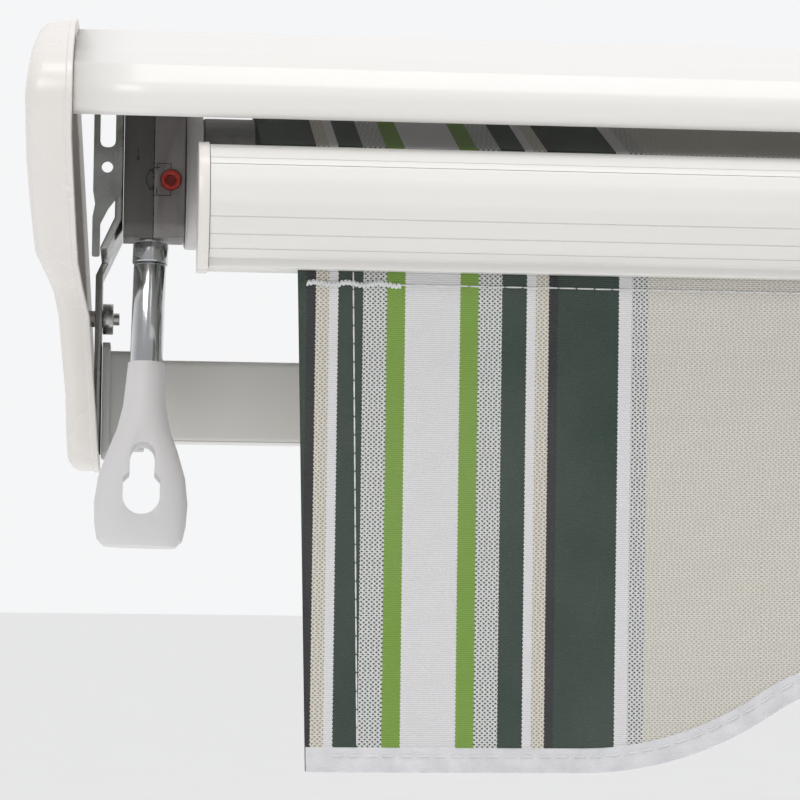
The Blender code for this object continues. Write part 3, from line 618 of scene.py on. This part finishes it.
def make_canopy(cloth):
    """The stretch of canvas between roll and front bar."""
    low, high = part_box("canopy")
    start = Vector((MIDDLE, high.y, high.z - 0.0006))
    end = Vector((MIDDLE, low.y, low.z + 0.0006))
    columns, rows = 280, 36

    def point(i, j):
        on = start.lerp(end, j / rows)
        return Vector((low.x + (high.x - low.x) * i / columns, on.y, on.z))

    sheet = finished("canopy_cloth", grid_sheet(columns, rows, point), cloth, None, ["canopy"])
    thickened(sheet, VALANCE_THICK)
    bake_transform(sheet)


def make_roll(cloth):
    """The rolled canvas: many turns, each a little step in from the next, so its ends show the layers."""
    low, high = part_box("canvas_roll")
    centre = (low + high) / 2
    radius = (high.z - low.z) / 2
    tube = (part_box("roller_tube")[1].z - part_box("roller_tube")[0].z) / 2
    turns, around = 6, 72
    bm = bmesh.new()
    outline = []
    for k in range(turns * around + 1):
        turn = k / around
        r = tube + 0.0004 + (radius - tube - 0.0006) * turn / turns
        a = -math.tau * turn + 2.0
        outline.append((r * math.cos(a), r * math.sin(a)))
    columns = 12
    net = []
    for i in range(columns + 1):
        x = low.x + (high.x - low.x) * i / columns
        net.append([bm.verts.new((x, centre.y + y, centre.z + z)) for y, z in outline])
    for i in range(columns):
        for k in range(len(outline) - 1):
            bm.faces.new((net[i][k], net[i + 1][k], net[i + 1][k + 1], net[i][k + 1]))
    roll = finished("canvas_roll_cloth", bm, cloth, "roller", ["canvas_roll"])
    thickened(roll, 0.0005)


# ---------------------------------------------------------------- covers, hood and front bar


def by_height(table, z, side):
    """Reads a table of (height, x) in mm from the middle, for the left side or mirrored for the right."""
    heights, places = zip(*table)
    return MIDDLE - side * float(np.interp(z * 1000, heights, places)) / 1000


def inset_loop(loop, depth):
    """Moves a closed outline inwards along its own normals."""
    points = [Vector(p) for p in loop]
    area = sum(a.x * b.y - b.x * a.y for a, b in zip(points, points[1:] + points[:1]))
    turn = 1 if area > 0 else -1
    made = []
    for k, point in enumerate(points):
        ahead = (points[(k + 1) % len(points)] - points[k - 1]).normalized()
        made.append(point + Vector((-ahead.y, ahead.x)) * depth * turn)
    return made


def make_end_cover(side, plastic):
    """A moulded cap over the end of hood and bar: rounded side, beaded rim, open towards the middle."""
    corners = outline_mm(
        (-8, -34), (-8, 156), (-14, 171), (-34, 178), (-70, 179.5), (-110, 177), (-150, 169), (-186, 156),
        (-208, 145), (-218, 130), (-213, 112), (-194, 95), (-168, 77), (-140, 61), (-112, 48), (-97, 32),
        (-86, 0), (-78, -34))
    loop = rounded(corners, [0.024, 0.03] + [0.04] * 14 + [0.06, 0.024], 6)
    rim = [(0.0, 0.0), (0.0006, -COVER_BEAD), (0.0026, -COVER_BEAD), (0.0032, 0.0)]
    bm = bmesh.new()
    net = []

    def ring(depth, place):
        return [bm.verts.new((place(p.y, k), p.x, p.y)) for k, p in enumerate(inset_loop(loop, depth))]

    for back, depth in rim:
        net.append(ring(depth, lambda z, k: by_height(COVER_RIM, loop[k][1], side) + side * back))
    for step in range(7):
        a = math.radians(90) * step / 6
        back = COVER_CORNER * (1 - math.sin(a))
        depth = COVER_CORNER * (1 - math.cos(a))
        net.append(ring(depth, lambda z, k: by_height(COVER_SIDE, loop[k][1], side) - side * back))
    count = len(loop)
    for first, second in zip(net, net[1:]):
        for k in range(count):
            bm.faces.new((first[k], first[(k + 1) % count], second[(k + 1) % count], second[k]))
    last = net[-1]
    edges = [bm.edges.get((last[k - 1], last[k])) for k in range(count)]
    bmesh.ops.triangle_fill(bm, use_beauty=True, use_dissolve=False, edges=edges)
    name = "left" if side < 0 else "right"
    cover = finished(
        f"end_cover_shell_{name}", bm, plastic, "frame", [f"end_cover_{name}"], 40)
    thickened(cover, COVER_THICK, -1.0)


def make_hood(paint):
    """The rolled sheet over the canvas roll, with a soft ridge above its front lip and a hemmed edge."""
    low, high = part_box("hood")
    path = rounded(
        outline_mm((-12, 148), (-12, 160), (-15, 169), (-26, 173.4), (-60, 175), (-100, 173.3),
                   (-130, 168.6), (-162, 160.2), (-190, 149.6), (-206, 142), (-213.4, 131),
                   (-213.6, 122), (-210.8, 119.2)),
        [0.02] * 9 + [0.003, 0.012, 0.003, 0.001], 6)
    path = path[1:-6]
    columns = 60
    step = (high.x - low.x) / columns
    bm = grid_sheet(columns, len(path) - 1, lambda i, j: (low.x + step * i, *path[j]))
    hood = finished("hood_sheet", bm, paint, "frame", ["hood"], 50)
    thickened(hood, 0.0017, 0.0)


def make_front_bar(paint):
    """The extruded front bar: bulged face, fine drawn grooves along it, and its two keder slots."""
    low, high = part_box("front_bar")
    face = [(-207, 108), (-216, 104.5), (-223, 98.5), (-227.5, 90), (-229.3, 80), (-228.5, 70),
            (-225, 61.5), (-220.5, 57)]
    smooth = rounded([(-190, 108)] + face + [(-217, 57)], [0] + [14] * 8 + [0], 6)[1:-1]
    outline = []
    for point in smooth:
        outline.append(Vector(point))
    grooved = []
    for here, there in zip(outline, outline[1:]):
        grooved.append(here)
        for z in FRONT_GROOVES:
            if there.y < z <= here.y:
                mid = here.lerp(there, (here.y - z) / (here.y - there.y))
                ahead = (there - here).normalized()
                inward = Vector((-ahead.y, ahead.x))
                inward = inward if inward.x > 0 else -inward
                bottom = mid + inward * GROOVE_DEPTH
                grooved += [mid - ahead * GROOVE_HALF, bottom - ahead * 0.1,
                            bottom + ahead * 0.1, mid + ahead * GROOVE_HALF]
    grooved.append(outline[-1])
    closing = [(-217, 57), (-217, 53.4), (-216.6, 53), (-209.4, 53), (-209, 53.4), (-209, 57),
               (-207, 57), (-207, 53.4), (-206.6, 53), (-190.4, 53), (-190, 53.4), (-190, 107.5),
               (-190.5, 108), (-195.5, 108), (-195.5, 105), (-198.5, 105), (-198.5, 108)]
    profile = outline_mm(*[tuple(p) for p in grooved], *closing)
    bm = bmesh.new()
    stations = (low.x, low.x + 0.3, high.x - 0.3, high.x)
    swept(bm, [[(x, *p) for p in profile] for x in stations], closed_ends=False)
    for ring_x in (low.x, high.x):
        ring = [v for v in bm.verts if abs(v.co.x - ring_x) < 1e-6]
        edges = [e for e in bm.edges if all(v in ring for v in e.verts)]
        bmesh.ops.triangle_fill(bm, use_beauty=True, use_dissolve=False, edges=edges)
    finished("front_bar_profile", bm, paint, "front_bar", ["front_bar"], 28)


# ---------------------------------------------------------------- gearbox face and side plates


def stroke(bm, points, width, y, depth=0.00025):
    """A printed or moulded line on a face that looks forwards."""
    for start, end in zip(points, points[1:]):
        a, b = Vector(start), Vector(end)
        ahead = (b - a).normalized() * width / 2
        side = Vector((-ahead.y, ahead.x))
        quad = [a - ahead + side, a - ahead - side, b + ahead - side, b + ahead + side]
        front = [bm.verts.new((MIDDLE + p.x / 1000, y - depth, p.y / 1000)) for p in quad]
        back = [bm.verts.new((MIDDLE + p.x / 1000, y + depth, p.y / 1000)) for p in quad]
        bm.faces.new(front)
        bm.faces.new(back[::-1])
        for k in range(4):
            bm.faces.new((front[k - 1], back[k - 1], back[k], front[k]))


def make_gearbox_marks(ink):
    """Turning arrow, plus and minus beside the limit screw, its outline, and the direction arrow."""
    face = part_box("gearbox_inner_half")[0].y
    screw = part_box("limit_screw")
    sx = ((screw[0].x + screw[1].x) / 2 - MIDDLE) * 1000
    sz = (screw[0].z + screw[1].z) * 500
    joint = (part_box("gearbox_inner_half")[0].x - MIDDLE) * 1000
    bm = bmesh.new()
    arc_centre, arc_radius = Vector((sx - 6.2, sz)), 5.0
    arc = [tuple(arc_centre + arc_radius * Vector((math.cos(a), math.sin(a))))
           for a in (math.radians(115 + 130 * k / 12) for k in range(13))]
    stroke(bm, arc, 0.32, face)
    for tip, bend in ((arc[0], 1), (arc[-1], -1)):
        barbs = [(tip[0] - 1.5, tip[1] - 0.1 * bend), tip, (tip[0] - 0.1, tip[1] - 1.4 * bend)]
        stroke(bm, barbs, 0.4, face)
    plus = (sx - 6.4, sz + 5.6)
    stroke(bm, [(plus[0] - 1.2, plus[1]), (plus[0] + 1.2, plus[1])], 0.4, face)
    stroke(bm, [(plus[0], plus[1] - 1.2), (plus[0], plus[1] + 1.2)], 0.4, face)
    stroke(bm, [(plus[0], sz - 6.4), (plus[0], sz - 4.2)], 0.4, face)
    stroke(bm, [(joint + 0.5, sz + 7.4), (sx, sz + 7.4), (sx, sz + 4.9)], 0.28, face)
    stroke(bm, [(sx, sz - 4.9), (sx, sz - 7.2), (joint + 0.5, sz - 7.2)], 0.28, face)
    finished("gearbox_inner_marks", bm, ink, "frame")
    bm = bmesh.new()
    left = joint - 7.5
    for top in (sz + 36, sz + 14.5):
        stroke(bm, [(left, top), (left, top - 6)], 0.3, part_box("gearbox_outer_half")[0].y)
        stroke(bm, [(left - 0.7, top - 4.2), (left, top - 6), (left + 0.7, top - 4.2)], 0.3,
               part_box("gearbox_outer_half")[0].y)
    finished("gearbox_outer_marks", bm, ink, "frame")


def make_limit_screw(plastic):
    """A red plastic screw with a chamfered rim and a hexagon socket."""
    low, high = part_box("limit_screw")
    centre, radius = (low + high) / 2, (high.x - low.x) / 2
    bm = bmesh.new()

    def around(r, y, sides=36):
        made = []
        for k in range(36):
            a = math.tau * k / 36
            reach = r
            if sides == 6:
                reach = r * math.cos(math.pi / 6) / math.cos((a % (math.tau / 6)) - math.pi / 6)
            made.append((centre.x + reach * math.cos(a), y, centre.z + reach * math.sin(a)))
        return made

    swept(bm, [around(radius, high.y), around(radius, low.y + 0.0006), around(radius * 0.93, low.y),
               around(radius * 0.72, low.y), around(radius * 0.66, low.y + 0.0005),
               around(radius * 0.58, low.y + 0.0007, 6), around(radius * 0.56, low.y + 0.0045, 6)])
    finished("limit_screw_hexagon", bm, plastic, "limit_screw", ["limit_screw"], 30)


def make_strap(side, steel):
    """The pressed steel strap on the front edge of a side plate, with its slot and hole."""
    bm = bmesh.new()
    outline = rounded(
        [(-970.5, 143), (-957.4, 143), (-957.4, 92), (-963.5, 84), (-967, 77), (-967, 62), (-970.6, 62),
         (-970.6, 80), (-969.5, 86), (-970.5, 92)], [3, 3, 5, 4, 3, 1, 1, 3, 3, 3], 5)
    slot = rounded([(-967.6, 137), (-960.6, 137), (-960.6, 112), (-967.6, 112)], 3.4, 6)
    angles = [k * math.tau / 20 for k in range(20)]
    hole = [(-964.2 + 2.6 * math.cos(a), 103 + 2.6 * math.sin(a)) for a in angles]
    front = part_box("side_plate_left")[0].y - 0.0002
    walls = {}
    for y in (front, front - 0.0022):
        edges = []
        for number, loop in enumerate((outline, slot, hole)):
            ring = [bm.verts.new((MIDDLE - side * p[0] / 1000, y, p[1] / 1000)) for p in loop]
            edges += [bm.edges.new((ring[k - 1], ring[k])) for k in range(len(ring))]
            walls.setdefault(number, []).append(ring)
        bmesh.ops.triangle_fill(bm, use_beauty=True, use_dissolve=False, edges=edges)
    for near, far in walls.values():
        for k in range(len(near)):
            bm.faces.new((near[k - 1], near[k], far[k], far[k - 1]))
    name = "left" if side < 0 else "right"
    strap = finished(f"side_strap_{name}", bm, steel, "frame")
    edge = strap.modifiers.new("edges", "BEVEL")
    edge.width = 0.0005
    edge.segments = 2
    edge.angle_limit = math.radians(50)


# ---------------------------------------------------------------- frame


def finish_of(name, paints):
    """The material of a CAD node, by what it is."""
    for starts, key in (
        ("end_cover", "cover"), ("front_bar_cap", "cover"), ("roller_disc", "disc"), ("crank_eye", "eye"),
        ("gearbox_outer", "case_dark"), ("gearbox_inner", "case"), ("limit_screw", "red"),
        ("crank_tube", "chrome"), ("crank_collar", "chrome"), ("side_plate", "zinc"),
        ("bracket_bolt", "bolt"), ("plate_bolt", "bolt"), ("cover_screw", "bolt"),
        ("gearbox_screw", "bolt"),
        ("shoulder_pin", "bolt"), ("elbow_pin", "bolt"), ("tip_pin", "bolt"), ("idler_pin", "bolt"),
        ("worm_shaft", "bolt"), ("arm_spring", "spring"), ("worm_wheel", "brass"),
        ("roller_tube", "galvanised"),
        # The torsion bar takes a darker copy of the white paint: painted shade for the shadow it lies in.
        ("end_socket", "socket"), ("torsion_bar", "shade_darkened_bar"), ("hood", "hood_paint"),
    ):
        if name.startswith(starts):
            return paints[key]
    return paints["paint"]


def ease_edges(node, width):
    """Rounds a CAD node's sharp edges a little, without touching its mesh."""
    weld = node.modifiers.new("weld", "WELD")
    weld.merge_threshold = 0.00001
    bevel = node.modifiers.new("edges", "BEVEL")
    bevel.width = width
    bevel.segments = 2
    bevel.limit_method = "ANGLE"
    bevel.angle_limit = math.radians(32)
    bevel.harden_normals = False


def dress_nodes(paints):
    for name, node in NODES.items():
        if node.hide_render:
            continue
        node.data.materials.clear()
        node.data.materials.append(finish_of(name, paints))
        node.data.polygons.foreach_set("use_smooth", [True] * len(node.data.polygons))
        node.data.set_sharp_from_angle(angle=math.radians(32))
        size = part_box(name)
        thin = min(size[1] - size[0])
        ease_edges(node, 0.0009 if thin > 0.02 else 0.0005)


def make_floor():
    low, high = CAD_BOUNDS
    bm = bmesh.new()
    bmesh.ops.create_grid(bm, x_segments=1, y_segments=1, size=FLOOR_SIZE / 2)
    mesh = bpy.data.meshes.new("floor")
    bm.to_mesh(mesh)
    bm.free()
    floor = bpy.data.objects.new("floor", mesh)
    floor.location = ((low.x + high.x) / 2, low.y, low.z - FLOOR_DROP)
    bpy.context.scene.collection.objects.link(floor)
    shader = Shader("floor_paint")
    shader.set(Base_Color=(0.90, 0.90, 0.90), Roughness=shader.spread(shader.noise(4, 3), 0.6, 0.75))
    shader.set(Emission_Color=(1.0, 1.0, 1.0), Emission_Strength=FLOOR_GLOW)
    mesh.materials.append(shader.material)


def main():
    place_camera()
    light_room()
    make_floor()
    paints = {
        "paint": painted("white_powder_coat", (0.80, 0.79, 0.77), 0.36),
        "hood_paint": painted("hood_powder_coat", (0.82, 0.805, 0.79), 0.34, 0.03, 0.15),
        # The white powder coat darkened as painted shade for the torsion bar's shadow, with a little more
        # dust.
        "shade_darkened_bar": painted("powder_coat_darkened_for_bar_shade", (0.74, 0.73, 0.70), 0.42, 0.08),
        "cover": moulded("cover_plastic", (0.80, 0.77, 0.745), 0.26),
        "disc": moulded("disc_plastic", (0.78, 0.77, 0.77), 0.35),
        "eye": moulded("eye_plastic", (0.70, 0.69, 0.70), 0.5),
        "socket": moulded("socket_plastic", (0.50, 0.50, 0.49), 0.5),
        "case": cast("gearbox_case", (0.155, 0.143, 0.140), 0.42),
        "case_dark": cast("gearbox_case_dark", (0.070, 0.067, 0.062), 0.45),
        "red": moulded("limit_screw_plastic", (0.36, 0.022, 0.012), 0.38),
        "chrome": plated("crank_chrome", (0.70, 0.72, 0.74), 0.12, (1, 1, 0.15), 300, 0.12),
        "zinc": plated("side_plate_zinc", (0.36, 0.37, 0.35), 0.30, (1, 1, 0.3), 180, 0.3),
        "bolt": plated("bolt_zinc", (0.60, 0.60, 0.58), 0.25, (1, 1, 1), 400, 0.25),
        "spring": plated("spring_steel", (0.42, 0.42, 0.43), 0.3),
        "brass": plated("wheel_bronze", (0.55, 0.40, 0.20), 0.3),
        "galvanised": plated("roller_galvanised", (0.34, 0.34, 0.33), 0.42, (0.1, 1, 1), 220, 0.3),
    }
    tape = plain_weave("binding_tape", (0.74, 0.74, 0.77), 0.0011)
    thread = plain_weave("sewing_thread", (0.82, 0.83, 0.83), 0.0006)
    make_valance(canvas("valance_canvas", UPWARDS), tape, thread)
    make_canopy(canvas("canopy_canvas", LENGTHWAYS))
    make_roll(canvas("roll_canvas", UPWARDS))
    for side in (-1, 1):
        make_end_cover(side, paints["cover"])
        make_strap(side, paints["zinc"])
    make_hood(paints["hood_paint"])
    make_front_bar(paints["paint"])
    make_gearbox_marks(moulded("mark_ink", (0.012, 0.012, 0.012), 0.6))
    make_limit_screw(paints["red"])
    dress_nodes(paints)


main()
